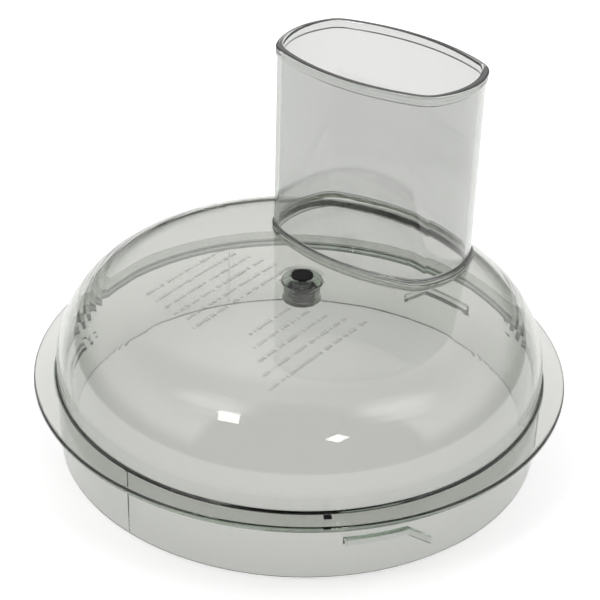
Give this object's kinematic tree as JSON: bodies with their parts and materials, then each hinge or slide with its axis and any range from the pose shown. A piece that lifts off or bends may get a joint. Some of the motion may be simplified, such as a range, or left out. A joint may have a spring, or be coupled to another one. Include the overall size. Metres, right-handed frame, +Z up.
{
  "type": "food processor lid",
  "caption": "Clear domed lid with a rim flange, bayonet skirt, tall oval feed tube bonded to a raised collar, and a central hub boss holding a spindle bush under a round plug.",
  "frame": {"origin": "centre of the skirt's bottom edge, on the lid's axis; the lid stands on Z = 0", "axes": "+Z up along the lid's axis, which is the spindle's axis; +Y towards the feed tube; X across the feed tube's long side"},
  "size_m": [0.23, 0.23, 0.1613],
  "materials": {
    "clear_lid": "clear injection-moulded plastic with a faint grey-green cast, polished",
    "clear_tube": "clear injection-moulded plastic, polished",
    "bond": "hardened clear adhesive, uneven",
    "bush_steel": "turned stainless steel",
    "black_plug": "black moulded plastic, satin",
    "black_pip": "black moulded plastic"
  },
  "bodies": {
    "root": {"lid_shell": "clear_lid", "feed_tube": "clear_tube", "bond_line": "bond", "spindle_bush": "bush_steel", "hub_plug": "black_plug", "alignment_pip": "black_pip"}
  },
  "joints": []
}
